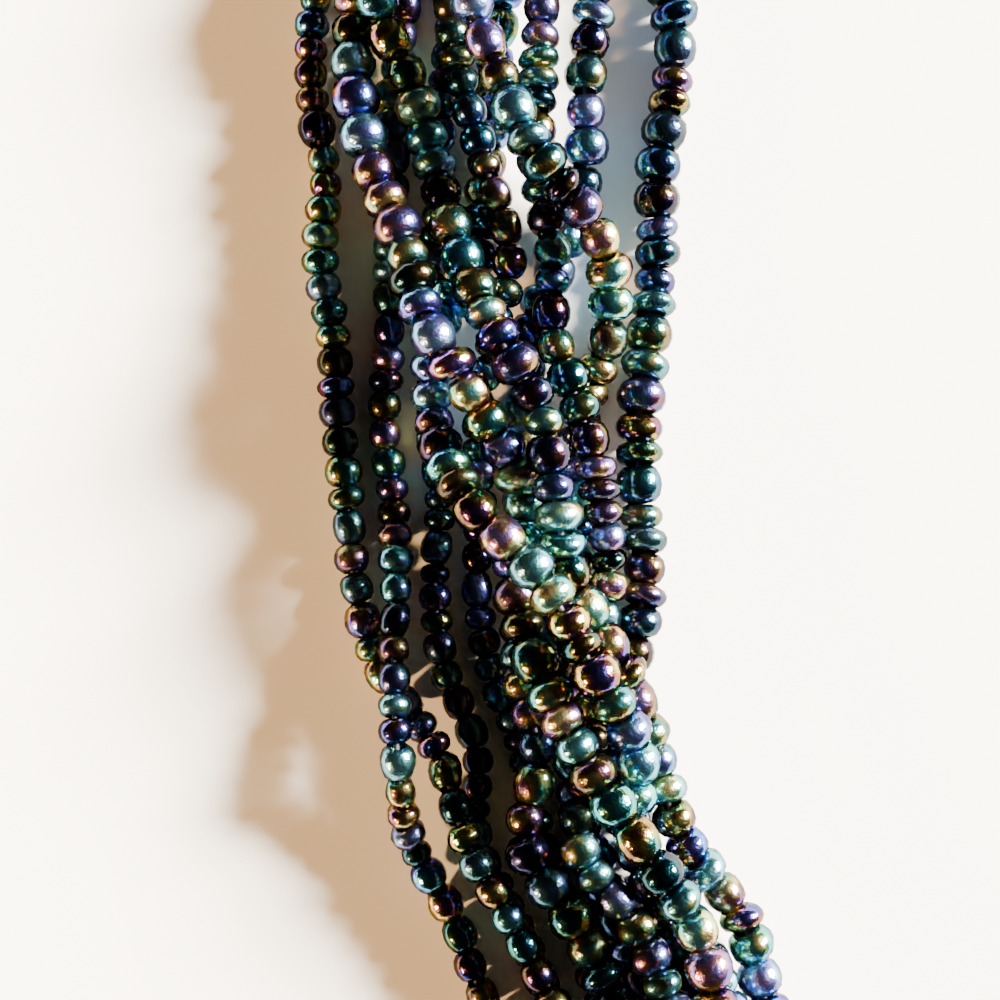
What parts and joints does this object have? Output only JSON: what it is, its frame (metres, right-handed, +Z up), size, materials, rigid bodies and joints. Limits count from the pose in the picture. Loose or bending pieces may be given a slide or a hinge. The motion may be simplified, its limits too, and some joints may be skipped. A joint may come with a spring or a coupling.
{
  "type": "multi strand necklace",
  "caption": "Necklace of loosely twisted strings of iris-finish glass seed beads, closed into a loop by a plain metal clasp, lying flat.",
  "frame": {"origin": "centre of the necklace's outline, on the surface it lies on", "axes": "+Y towards the clasp at the back of the neck, +X to the wearer's left of the loop as seen from above, +Z up from the surface"},
  "size_m": [0.156, 0.1876, 0.0123],
  "materials": {
    "iris_beads": "opaque glass with a glossy metallic iris coating",
    "clasp_metal": "satin"
  },
  "bodies": {
    "root": {"strand_01": "iris_beads", "strand_02": "iris_beads", "strand_03": "iris_beads", "strand_04": "iris_beads", "strand_05": "iris_beads", "strand_06": "iris_beads", "strand_07": "iris_beads", "strand_08": "iris_beads", "strand_09": "iris_beads", "strand_10": "iris_beads", "strand_11": "iris_beads", "clasp": "clasp_metal"}
  },
  "joints": []
}
